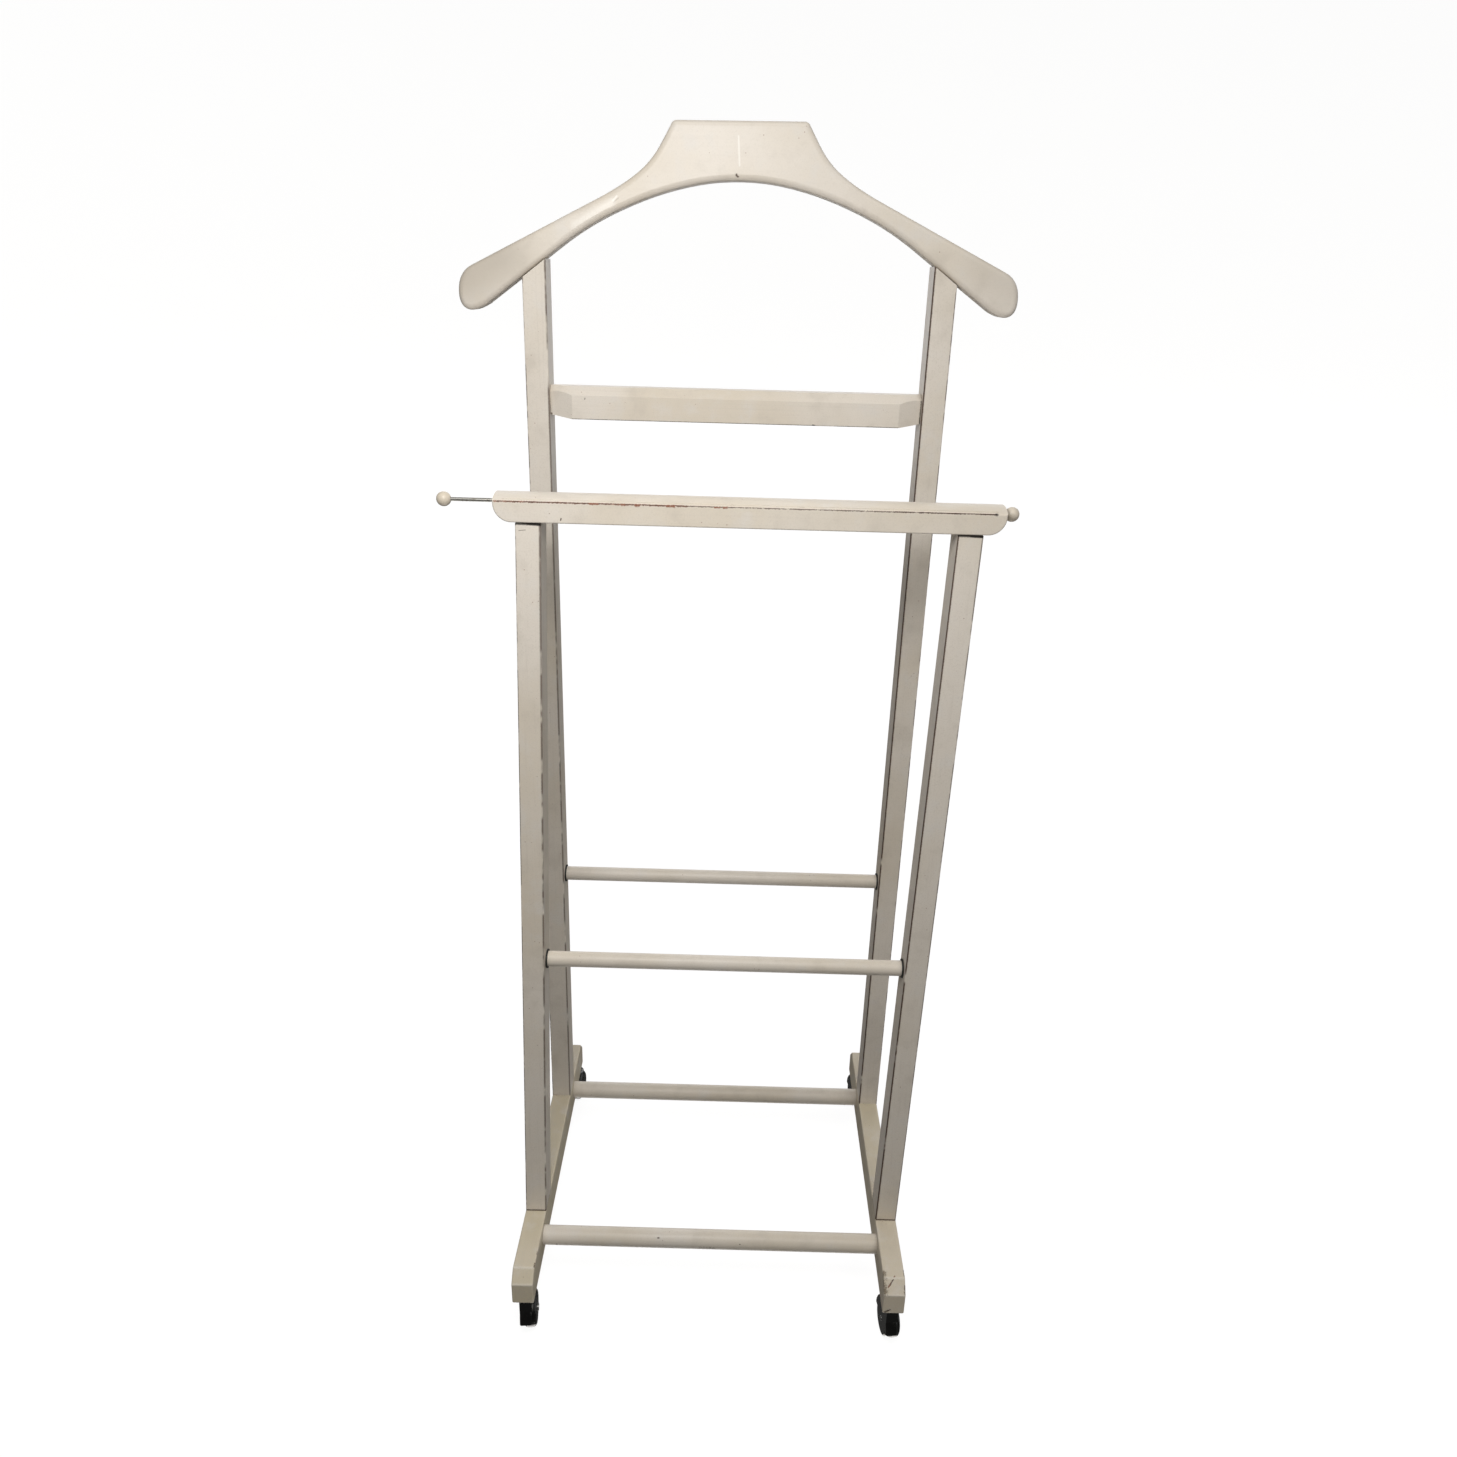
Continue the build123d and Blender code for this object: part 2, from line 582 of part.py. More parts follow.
# trailing direction of each caster at rest, degrees from +X
swivel_rest = {
    ("left", "front"): 96.0,
    ("right", "front"): 97.0,
    ("left", "rear"): 82.0,
    ("right", "rear"): 98.0,
}
for (side, end), angle in swivel_rest.items():
    cx = sides[side] * side_centre
    cy = caster_ys[end]
    t = (cos(radians(angle)), sin(radians(angle)))
    wx = cx + trail * t[0]
    wy = cy + trail * t[1]
    name = f"{end}_{side}"
    # vertical plane through the stem and wheel centres, local x along the trail
    wheel_plane = Plane(origin=(wx, wy, wheel_radius), x_dir=(t[0], t[1], 0), z_dir=(t[1], -t[0], 0))

    with BuildPart() as socket:
        with BuildSketch(Plane.XY.offset(foot_bottom)):
            with Locations((cx, cy)):
                Circle(4.5)
                Circle(3.06, mode=Mode.SUBTRACT)
        extrude(amount=20.5)
        with BuildSketch(Plane.XY.offset(foot_bottom)):
            with Locations((cx, cy)):
                Circle(7.5)
                Circle(3.06, mode=Mode.SUBTRACT)
        extrude(amount=-1.0)
    save(socket.part, f"{name}_caster_socket")

    with BuildPart() as stem:
        with BuildSketch(Plane.XY.offset(foot_bottom + 19)):
            with Locations((cx, cy)):
                Circle(3.0)
        extrude(amount=-(19 + 8.2))
        with BuildSketch(Plane.XY.offset(foot_bottom - 1.5)):
            with Locations((cx, cy)):
                Circle(6.0)
        extrude(amount=-1.3)
    save(stem.part, f"{name}_caster_stem")

    with BuildPart() as hood:
        # round cap over the top of the wheel, and a block under the stem
        with BuildSketch(wheel_plane.offset(hood_left)):
            with BuildLine():
                ThreePointArc((-cap_radius, 0), (0, cap_radius), (cap_radius, 0))
                Line((cap_radius, 0), (-cap_radius, 0))
            make_face()
            with Locations((-trail, 17)):
                RectangleRounded(15, 26, 6)
        extrude(amount=hood_right - hood_left)
        # cheek that covers one side of the wheel
        with BuildSketch(wheel_plane.offset(hood_left)):
            Circle(cheek_radius)
        extrude(amount=cheek)
        # level top under the stem collar
        with BuildSketch(Plane.XY.offset(foot_bottom - 2.85)):
            with Locations((cx, cy)):
                Rectangle(90, 90)
        extrude(amount=30, mode=Mode.SUBTRACT)
        rims = hood.edges().filter_by(GeomType.CIRCLE).filter_by(lambda e: e.length > 12)
        chamfer(rims, length=1.1)
        # wheel room, open below and on one side
        with BuildSketch(wheel_plane.offset(room_start)):
            Circle(room_radius)
            with Locations((0, -20)):
                Rectangle(2 * room_radius, 40)
        extrude(amount=40, mode=Mode.SUBTRACT)
        # stem and axle bores
        with BuildSketch(Plane.XY.offset(foot_bottom - 2.85)):
            with Locations((cx, cy)):
                Circle(3.0)
        extrude(amount=-5.4, mode=Mode.SUBTRACT)
        with BuildSketch(wheel_plane):
            Circle(axle_radius)
        extrude(amount=20, both=True, mode=Mode.SUBTRACT)
    save(hood.part, f"{name}_caster_hood")

    with BuildPart() as axle:
        with BuildSketch(wheel_plane.offset(hood_left - 0.5)):
            Circle(axle_radius)
        extrude(amount=wheel_side + wheel_width / 2 + 0.8 - hood_left + 0.5)
        # riveted head outside the wheel
        with BuildSketch(wheel_plane.offset(wheel_side + wheel_width / 2 + 0.2)):
            Circle(3.4)
        extrude(amount=1.0)
    save(axle.part, f"{name}_caster_axle")

    with BuildPart() as wheel:
        with BuildSketch(wheel_plane.offset(wheel_side)):
            Circle(wheel_radius)
        extrude(amount=wheel_width / 2, both=True)
        fillet(wheel.edges(), radius=4.2)
        # fine ring groove on the open face
        with BuildSketch(wheel_plane.offset(wheel_side + wheel_width / 2)):
            Circle(10.5)
            Circle(9.3, mode=Mode.SUBTRACT)
        extrude(amount=-1.0, mode=Mode.SUBTRACT)
        with BuildSketch(wheel_plane):
            Circle(axle_radius + 0.06)
        extrude(amount=20, both=True, mode=Mode.SUBTRACT)
    save(wheel.part, f"{name}_caster_wheel")
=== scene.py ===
import math

import bmesh
import bpy
from mathutils import Matrix, Vector


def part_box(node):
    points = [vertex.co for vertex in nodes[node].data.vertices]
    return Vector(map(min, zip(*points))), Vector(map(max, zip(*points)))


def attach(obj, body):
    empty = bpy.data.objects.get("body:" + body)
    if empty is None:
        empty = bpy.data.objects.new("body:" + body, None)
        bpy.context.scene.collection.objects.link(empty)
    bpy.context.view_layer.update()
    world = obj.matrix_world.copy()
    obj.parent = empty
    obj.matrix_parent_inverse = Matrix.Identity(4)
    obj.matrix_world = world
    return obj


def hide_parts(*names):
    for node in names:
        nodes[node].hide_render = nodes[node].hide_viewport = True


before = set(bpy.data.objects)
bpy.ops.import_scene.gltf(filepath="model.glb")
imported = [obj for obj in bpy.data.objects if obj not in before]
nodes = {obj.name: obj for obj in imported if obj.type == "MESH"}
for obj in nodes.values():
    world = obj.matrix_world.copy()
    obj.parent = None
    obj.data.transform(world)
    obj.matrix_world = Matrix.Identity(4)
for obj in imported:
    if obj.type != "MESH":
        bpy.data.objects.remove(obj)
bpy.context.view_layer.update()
MM = 0.001


def rgb(r, g, b):
    """A colour given as 0-255 screen values, in the linear values that shaders use."""
    screen = [value / 255 for value in (r, g, b)]
    return tuple(v / 12.92 if v <= 0.04045 else ((v + 0.055) / 1.055) ** 2.4 for v in screen)


# ---------------------------------------------------------------- shader building
class Shader:
    """A procedural material under construction. Its coordinates are in metres, in the model's frame."""

    def __init__(self, name):
        self.material = bpy.data.materials.new(name)
        self.material.use_nodes = True
        self.tree = self.material.node_tree
        self.tree.nodes.clear()
        self.bsdf = self.tree.nodes.new("ShaderNodeBsdfPrincipled")
        out = self.tree.nodes.new("ShaderNodeOutputMaterial")
        self.tree.links.new(self.bsdf.outputs[0], out.inputs[0])
        self.where = self.tree.nodes.new("ShaderNodeTexCoord").outputs["Object"]

    def put(self, socket, value):
        """Link an output to a socket, or set the socket to a constant."""
        if isinstance(value, bpy.types.NodeSocket):
            self.tree.links.new(value, socket)
        elif isinstance(value, (tuple, list)) and len(value) == 3 and socket.type == "RGBA":
            socket.default_value = (*value, 1.0)
        else:
            socket.default_value = value

    def node(self, kind, sockets, **props):
        """A new node with its properties set and its sockets filled."""
        made = self.tree.nodes.new(kind)
        for key, value in props.items():
            setattr(made, key, value)
        for key, value in sockets.items():
            self.put(made.inputs[key], value)
        return made

    def math(self, op, a, b=0.0, c=0.0, clamp=False):
        made = self.node("ShaderNodeMath", {0: a, 1: b, 2: c}, operation=op)
        made.use_clamp = clamp
        return made.outputs[0]

    def vector(self, op, a, b=(0, 0, 0), out="Vector"):
        return self.node("ShaderNodeVectorMath", {0: a, 1: b}, operation=op).outputs[out]

    def stretched(self, sx, sy, sz, offset=(0, 0, 0)):
        """Coordinates scaled along each axis, for grain and brush marks."""
        moved = self.vector("ADD", self.where, offset)
        return self.vector("MULTIPLY", moved, (sx, sy, sz))

    def noise(self, scale, detail=2.0, rough=0.5, coords=None, distortion=0.0):
        sockets = {"Vector": coords or self.where, "Scale": scale, "Detail": detail, "Roughness": rough,
                   "Distortion": distortion}
        return self.node("ShaderNodeTexNoise", sockets).outputs[0]

    def cells(self, scale):
        """Distance to the nearest of many scattered points."""
        return self.node("ShaderNodeTexVoronoi", {"Vector": self.where, "Scale": scale}).outputs["Distance"]

    def ramp(self, value, low, high, out_low=0.0, out_high=1.0):
        """Smooth step from out_low to out_high as value goes from low to high."""
        sockets = {"Value": value, "From Min": low, "From Max": high, "To Min": out_low, "To Max": out_high}
        return self.node("ShaderNodeMapRange", sockets, interpolation_type="SMOOTHSTEP").outputs[0]

    def mix(self, share, a, b):
        """Colour a where share is 0, turning into colour b where it is 1."""
        made = self.tree.nodes.new("ShaderNodeMix")
        made.data_type = "RGBA"
        self.put(made.inputs[0], share)
        self.put(made.inputs[6], a)
        self.put(made.inputs[7], b)
        return made.outputs[2]

    def edges(self, reach):
        """1 on convex edges of the piece itself, 0 away from them."""
        inside = self.node("ShaderNodeAmbientOcclusion", {"Distance": reach}, samples=6, inside=True,
                           only_local=True)
        return self.math("SUBTRACT", 1.0, inside.outputs["AO"])

    def corners(self, reach):
        """1 in corners and against neighbours, 0 on open surfaces."""
        outside = self.node("ShaderNodeAmbientOcclusion", {"Distance": reach}, samples=6)
        return self.math("SUBTRACT", 1.0, outside.outputs["AO"])

    def line(self, start, end, width, soft, ragged):
        """A band, width across, along the line between two points: 1 inside it and 0 away from it. soft is
        how blurred its edge is, and ragged how uneven."""
        run = Vector(end) - Vector(start)
        local = self.vector("SUBTRACT", self.where, start)
        along = self.math("DIVIDE", self.vector("DOT_PRODUCT", local, tuple(run), out="Value"),
                          max(run.length_squared, 1e-12), clamp=True)
        spot = self.node("ShaderNodeVectorMath", {0: tuple(run), "Scale": along}, operation="SCALE")
        reach = self.vector("LENGTH", self.vector("SUBTRACT", local, spot.outputs[0]), out="Value")
        if ragged:
            wobble = self.math("SUBTRACT", self.noise(RAGGED_SCALE, 3.0, 0.6), 0.5)
            reach = self.math("MULTIPLY_ADD", wobble, ragged * width * 4, reach)
        return self.ramp(reach, width * (1 - soft) / 2, width * (1 + soft) / 2, 1.0, 0.0)

    def bump(self, height, distance, normal=None):
        """A normal that follows height, with relief of distance metres, on top of another normal."""
        sockets = {"Height": height, "Distance": distance}
        if normal is not None:
            sockets["Normal"] = normal
        return self.node("ShaderNodeBump", sockets).outputs[0]

    def finish(self, color, roughness, normal=None, **constants):
        """Connect the surface and give the material. The constants go straight on the shader's sockets."""
        self.put(self.bsdf.inputs["Base Color"], color)
        self.put(self.bsdf.inputs["Roughness"], roughness)
        if normal is not None:
            self.put(self.bsdf.inputs["Normal"], normal)
        for key, value in constants.items():
            self.bsdf.inputs[key.replace("_", " ")].default_value = value
        return self.material


# ---------------------------------------------------------------- materials
PAINT = rgb(229, 221, 210)
PAINT_WARM = rgb(219, 208, 190)
PAINT_COOL = rgb(226, 221, 214)
PAINT_SHADE = rgb(198, 189, 176)
# pale paint for scratches and rubs, also used for painted highlights along edges
PAINT_LIGHT = rgb(240, 235, 226)
PAINT_FOOT = rgb(214, 203, 178)
PRIMER = rgb(134, 84, 62)
BARE = rgb(72, 50, 40)
BLACK = rgb(30, 24, 22)
# dark brown grime, also used for the painted shade in the corners
GRIME_AND_SHADE = rgb(96, 80, 58)

# scales of the patterns, in features per metre
BRUSH_ACROSS = 520.0
BRUSH_ALONG = 9.0
PEEL_SCALE = 620.0
DRIFT_SCALE = 7.0
BLOTCH_SCALE = 38.0
GRIT_SCALE = 900.0
SMEAR_SCALE = 16.0
NIB_SCALE = 210.0
PATCH_SCALE = 90.0
RAGGED_SCALE = 900.0

# how far the painted shade reaches out of a corner, how far rubbing and the painted highlight reach in from
# an edge, and the relief of brush lines and chips
CORNER_REACH = 12.0 * MM
EDGE_REACH = 2.2 * MM
BRUSH_RELIEF = 0.1 * MM
PAINT_THICKNESS = 0.18 * MM


def painted(name, grain, tone=PAINT, gloss=0.44, wear=1.0, grime_and_shade=1.0, coat=0.06, brushed=0.16, marks=()):
    """Old brushed satin enamel on wood. grain is the axis that the brush followed, gloss the roughness of
    clean paint, and brushed how strongly the brush lines show."""
    s = Shader(name)
    # long brush lines with the grain, a fine orange peel, grit, blotches and a slow drift of tone
    fine = [BRUSH_ACROSS] * 3
    fine["XYZ".index(grain)] = BRUSH_ALONG
    brush = s.noise(1.0, 3.0, 0.55, coords=s.stretched(*fine))
    peel = s.noise(PEEL_SCALE, 2.0, 0.5)
    drift = s.noise(DRIFT_SCALE, 3.0, 0.55)
    blotch = s.noise(BLOTCH_SCALE, 4.0, 0.6)
    grit = s.noise(GRIT_SCALE, 4.0, 0.7)
    color = s.mix(s.ramp(drift, 0.38, 0.66, 0.0, 0.7), tone, PAINT_WARM)
    color = s.mix(s.ramp(blotch, 0.5, 0.75, 0.0, 0.6), color, PAINT_COOL)
    color = s.mix(s.ramp(blotch, 0.5, 0.26, 0.0, 0.34), color, PAINT_SHADE)
    color = s.mix(s.ramp(brush, 0.52, 0.74, 0.0, brushed), color, PAINT_SHADE)
    color = s.mix(s.ramp(grit, 0.48, 0.72, 0.0, 0.35 * wear + 0.12), color, PAINT_SHADE)
    # painted shade darkens the corners, and grime lies in a few faint smears
    corner = s.corners(CORNER_REACH)
    smear = s.ramp(s.noise(SMEAR_SCALE, 5.0, 0.62, coords=s.stretched(1, 1, 1, (3.1, 0.7, 1.9))), 0.6, 0.82)
    corner_shade = s.math("MULTIPLY", s.ramp(corner, 0.32, 0.95), s.ramp(blotch, 0.3, 0.7, 0.35, 1.0))
    color = s.mix(s.math("MULTIPLY", corner_shade, 0.75 * grime_and_shade), color, GRIME_AND_SHADE)
    color = s.mix(s.math("MULTIPLY", smear, 0.14 * grime_and_shade), color, GRIME_AND_SHADE)
    # brown dust nibs, gathered here and there
    nib_cells = s.cells(NIB_SCALE)
    fleck_choice = s.noise(60.0, 1.0, 0.5, coords=s.stretched(1, 1, 1, (1.3, 2.2, 0.4)))
    nibs = s.math("MULTIPLY", s.ramp(nib_cells, 0.07, 0.11, 1.0, 0.0), s.ramp(fleck_choice, 0.6, 0.64))
    color = s.mix(s.math("MULTIPLY", nibs, 0.6), color, PRIMER)
    # paint rubbed thin on the edges, through to the primer in places, and a painted highlight along them
    edge = s.edges(EDGE_REACH)
    patchy = s.noise(PATCH_SCALE, 4.0, 0.65, coords=s.stretched(1, 1, 1, (0.2, 5.1, 2.7)))
    near_edge = s.ramp(edge, 0.22, 0.5)
    worn_patches = s.ramp(patchy, 0.66 - 0.1 * wear, 0.74 - 0.1 * wear)
    rubbed = s.math("MULTIPLY", near_edge, worn_patches)
    # painted highlight: the convex edges lightened towards PAINT_LIGHT
    color = s.mix(s.math("MULTIPLY", s.ramp(edge, 0.2, 0.6), 0.3), color, PAINT_LIGHT)
    color = s.mix(s.math("MULTIPLY", rubbed, 0.75 * min(wear, 1.0)), color, PRIMER)
    rough = s.math("MULTIPLY_ADD", s.math("SUBTRACT", blotch, 0.5), 0.16, gloss)
    rough = s.math("MULTIPLY_ADD", s.math("SUBTRACT", brush, 0.5), 0.10, rough)
    # the marks of this piece, the deep ones down through the paint
    bare = rubbed
    for wear_line in marks:
        mask = s.line(wear_line["from"], wear_line["to"], wear_line["width"], wear_line.get("soft", 0.4),
                      wear_line.get("ragged", 0.0))
        if "broken" in wear_line:
            gaps = s.ramp(s.noise(wear_line.get("pitch", 150.0), 3.0, 0.7), *wear_line["broken"])
            mask = s.math("MULTIPLY", mask, gaps)
        color = s.mix(s.math("MULTIPLY", mask, wear_line.get("strength", 0.85)), color, wear_line["color"])
        if wear_line.get("deep", True):
            bare = s.math("MAXIMUM", bare, mask)
        else:
            rough = s.math("MULTIPLY_ADD", mask, wear_line.get("sheen", 0.0), rough)
    rough = s.math("MULTIPLY_ADD", bare, 0.25, rough, clamp=True)
    rough = s.math("MULTIPLY_ADD", corner_shade, 0.2, rough, clamp=True)
    height = s.math("MULTIPLY_ADD", brush, 0.5, s.math("MULTIPLY", peel, 0.35))
    height = s.math("MULTIPLY_ADD", nibs, 0.8, height)
    normal = s.bump(height, BRUSH_RELIEF)
    normal = s.bump(s.math("SUBTRACT", 1.0, bare), PAINT_THICKNESS, normal)
    return s.finish(color, rough, normal, Specular_IOR_Level=0.3, Coat_Weight=coat, Coat_Roughness=0.22)


def metal(name, color, tarnish, gloss):
    """Stained metal with fine machining rings, close together along X."""
    s = Shader(name)
    turned = s.noise(1.0, 2.0, 0.5, coords=s.stretched(2500.0, 60.0, 60.0))
    stain = s.noise(220.0, 4.0, 0.65)
    shade = s.mix(s.ramp(stain, 0.48, 0.72, 0.0, 0.8), color, tarnish)
    rough = s.math("MULTIPLY_ADD", stain, 0.3, gloss)
    normal = s.bump(turned, 0.02 * MM)
    return s.finish(shade, rough, normal, Metallic=0.92)


def molded(name, color, dust, gloss, coat):
    """Glossy moulded plastic with scuffs, and dust along its edges."""
    s = Shader(name)
    scuff = s.noise(160.0, 5.0, 0.7)
    swirl = s.noise(40.0, 3.0, 0.6, distortion=1.5)
    shade = s.mix(s.ramp(scuff, 0.52, 0.75, 0.0, 0.35), color, dust)
    dusty = s.math("MULTIPLY", s.ramp(s.edges(1.4 * MM), 0.25, 0.7), s.ramp(swirl, 0.4, 0.7))
    shade = s.mix(dusty, shade, dust)
    rough = s.math("MULTIPLY_ADD", s.ramp(scuff, 0.4, 0.75), 0.3, gloss)
    normal = s.bump(s.math("ADD", scuff, swirl), 0.05 * MM)
    return s.finish(shade, rough, normal, Coat_Weight=coat, Coat_Roughness=0.08)


def bare_wood(name):
    """Unpainted wood with its grain along Z."""
    s = Shader(name)
    rings = s.noise(1.0, 4.0, 0.6, coords=s.stretched(260, 260, 18), distortion=0.6)
    shade = s.mix(s.ramp(rings, 0.35, 0.65), rgb(190, 150, 104), rgb(146, 106, 66))
    return s.finish(shade, s.math("MULTIPLY_ADD", rings, 0.2, 0.5), s.bump(rings, 0.1 * MM))


# ---------------------------------------------------------------- wear in known places
# sizes of the stock, in millimetres, that the marks are placed by
POST_WIDE = 20.0
POST_DEEP = 28.0
FOOT_WIDE = 20.0
FOOT_HIGH = 33.0
FOOT_BEVEL = 10.5
BAR_LIP_HEIGHT = 16.0
RAIL_NOSE = 20.0


def shifted(base, dx, dy, dz):
    """The point that lies dx, dy and dz millimetres from base."""
    return (base[0] + dx * MM, base[1] + dy * MM, base[2] + dz * MM)


def wear_between(start, end, width, color, **more):
    """One line of wear between two points in metres. Its width is in millimetres."""
    return {"from": start, "to": end, "width": width * MM, "color": color, **more}


def mark(base, start, end, width, color, **more):
    """One line of wear whose ends are given from base, in millimetres, as its width is."""
    return wear_between(shifted(base, *start), shifted(base, *end), width, color, **more)


def bar_marks():
    """The front lip is rubbed through to the primer, most of all at the left end."""
    low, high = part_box("front_bar")
    lip = (low[0], low[1], low[2] + BAR_LIP_HEIGHT * MM)
    right = (high[0], low[1], lip[2])
    length = (high[0] - low[0]) / MM
    made = [
        mark(lip, (1.5, 0.2, 0.3), (150, 0.2, 0.3), 1.3, PRIMER, ragged=0.45, broken=(0.26, 0.42)),
        mark(lip, (4, 0.2, 0.3), (length - 9, 0.2, 0.3), 0.9, BARE, ragged=0.5, broken=(0.33, 0.47),
             pitch=90.0),
        mark(right, (-86, 0.3, 0.4), (-9, 0.3, 0.4), 1.0, BARE, ragged=0.3, broken=(0.3, 0.42)),
        mark(right, (-9, 0.4, 0.3), (-8.6, 0.4, 0.3), 2.2, BLACK, soft=0.6),
        mark(low, (52.4, 0, 2.8), (52.8, 0, 4.2), 0.9, BARE),
        mark(low, (21, 4, 0), (36, 4, 0), 1.6, BLACK, soft=0.8, deep=False),
    ]
    # chips along the lip: distance from the left end, length and width
    chips = ((75, 6, 1.5), (100, 1.4, 1.7), (110, 3, 1.9), (134, 6, 1.9), (171, 4, 1.2), (178, 2.4, 1.7))
    for along, long, width in chips:
        made.append(mark(lip, (along, 0.1, -0.1), (along + long, 0.1, 0), width, PRIMER, ragged=0.4))
    return made


def post_head(low, high):
    """The front left corner of a post's top. The posts lean to the right and back, if at all, so the high
    corner of a post's box is the high corner of its top."""
    return (high[0] - POST_WIDE * MM, high[1] - POST_DEEP * MM, high[2])


def post_marks():
    """Dark lines where the long front edges are worn, open joints at the feet, painted shadow under the bar
    and at the yoke, and a few specks.
    """
    made = []
    for side in ("left", "right"):
        inner = POST_WIDE if side == "left" else 0.0
        outer = POST_WIDE - inner
        inner_gaps = (0.28, 0.4) if side == "right" else (0.34, 0.5)
        inner_strength = 0.95 if side == "right" else 0.75
        for row in ("front", "rear"):
            low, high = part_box(f"{side}_{row}_post")
            foot = (low[0], low[1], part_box(f"{side}_foot")[1][2])
            head = post_head(low, high)
            made.append(wear_between(shifted(foot, inner, 0.1, 0), shifted(head, inner, 0.1, 0), 2.5, BARE,
                                     ragged=0.08, broken=inner_gaps, pitch=26.0, strength=inner_strength))
            made.append(wear_between(shifted(foot, outer, 0.1, 0), shifted(head, outer, 0.1, 0), 1.8, BARE,
                                     ragged=0.1, broken=(0.4, 0.54), pitch=40.0, strength=0.7))
            if row == "front":
                made += [
                    mark(foot, (0, 0, 0), (POST_WIDE, 0, 0), 1.3, BARE, ragged=0.3, broken=(0.25, 0.4)),
                    mark(foot, (inner, 0, 0), (inner, POST_DEEP, 0), 1.3, BARE, ragged=0.3),
                    # painted shadow: black lines just under the bar, where the gap to the bar lies in shade
                    mark(head, (0.5, 0, -8.4), (POST_WIDE, 0, -8.6), 2.4, BLACK, ragged=0.1),
                    mark(head, (POST_WIDE / 2, 0, -8.4), (POST_WIDE, 0, -9.0), 2.0, BLACK),
                ]
    left_front = post_head(*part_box("left_front_post"))
    left_rear = post_head(*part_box("left_rear_post"))
    made += [
        mark(left_front, (3, 0, -14), (8, 0, -13.4), 0.7, BARE, strength=0.55),
        mark(left_front, (18.5, 0, -51), (17.5, 0, -54), 1.0, GRIME_AND_SHADE, strength=0.7),
        # painted shadow in the gap where the left rear post meets the yoke
        mark(left_rear, (1, 0, -8), (POST_WIDE, 0, 6), 1.5, BLACK, soft=0.5, strength=0.9),
    ]
    return made


def foot_marks():
    """Painted highlights along the front bevels, knocks at them, a scratch, the dark joint lines under the
    posts, and painted shade along the lower front edge.
    """
    made = []
    for side in ("left", "right"):
        low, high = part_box(f"{side}_foot")
        nose = (low[0], low[1], high[2])
        # painted highlights: pale lines along both edges of the front bevel
        for y, z in ((FOOT_BEVEL, 0), (0.3, -FOOT_BEVEL)):
            made.append(mark(nose, (0, y, z), (FOOT_WIDE, y, z), 2.2, PAINT_LIGHT, soft=1.0, strength=0.45,
                             ragged=0.4, deep=False))
        post_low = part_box(f"{side}_front_post")[0]
        seat = (post_low[0], post_low[1], high[2])
        made += [
            mark(seat, (0, -0.2, 0), (POST_WIDE, -0.2, 0), 1.1, BARE, ragged=0.3, broken=(0.25, 0.4)),
            # painted shade: a black line along the lower front edge of the foot
            mark(nose, (0.2, 0.2, -FOOT_HIGH), (FOOT_WIDE, 0.2, -FOOT_HIGH), 1.6, BLACK, soft=0.9, ragged=0.3,
                 strength=0.7),
        ]
    left_low, left_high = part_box("left_foot")
    right_low, right_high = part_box("right_foot")
    inner = (left_high[0], left_low[1], left_high[2])
    near = (right_low[0], right_low[1], right_high[2])
    far = (right_high[0], right_low[1], right_high[2])
    made += [
        mark(inner, (0, 12, 0), (0, 15.5, 0), 2.0, BARE, ragged=0.5),
        mark(inner, (0, 26, 0), (0, 29, 0), 1.2, BARE, ragged=0.5),
        mark(near, (4, 4.6, -5.6), (10.5, 12.5, 0.2), 1.2, PRIMER, ragged=0.3),
        mark(near, (6, 6, -4.2), (9, 9.5, -0.8), 0.8, BLACK, ragged=0.3),
        mark(near, (0.8, 1, -9), (0.8, 16, 0), 3.4, GRIME_AND_SHADE, soft=0.9, ragged=0.9, strength=0.75),
        mark(far, (-0.2, 0.5, -9), (-0.2, 6, -5), 1.8, BARE, ragged=0.7, broken=(0.3, 0.45)),
        mark(far, (-0.2, 12, 0), (-0.2, 20, 0), 1.3, BARE, ragged=0.6, broken=(0.38, 0.5)),
        mark(near, (2, 0, -31), (7, 0, -28), 1.6, BARE, ragged=0.6, broken=(0.3, 0.45)),
    ]
    return made


def rail_marks():
    """A dark line on the lower edge that stops short of the noses, knocks at both ends and two specks."""
    low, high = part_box("upper_rail")
    right = (high[0], low[1], low[2])
    return [
        wear_between(shifted(low, RAIL_NOSE, 0.5, 0.2), shifted(right, -RAIL_NOSE, 0.5, 0.2), 1.0, BARE,
                     ragged=0.2, broken=(0.3, 0.44), pitch=30.0),
        mark(right, (-94, 0.2, 0.4), (-92.5, 0.2, 0.2), 1.6, BLACK),
        mark(low, (0.4, 7.5, 3.5), (0.6, 9.5, 3.5), 1.8, BARE, ragged=0.4),
        mark(low, (0.4, 8, 26), (0.6, 10, 26.5), 1.8, PRIMER, ragged=0.4),
        mark(right, (-0.2, 8, 3), (-0.2, 8, 25), 1.4, BLACK, ragged=0.3, strength=0.8),
        mark(low, (31, 0, 17), (31.3, 0, 18), 0.8, BARE, strength=0.6),
    ]


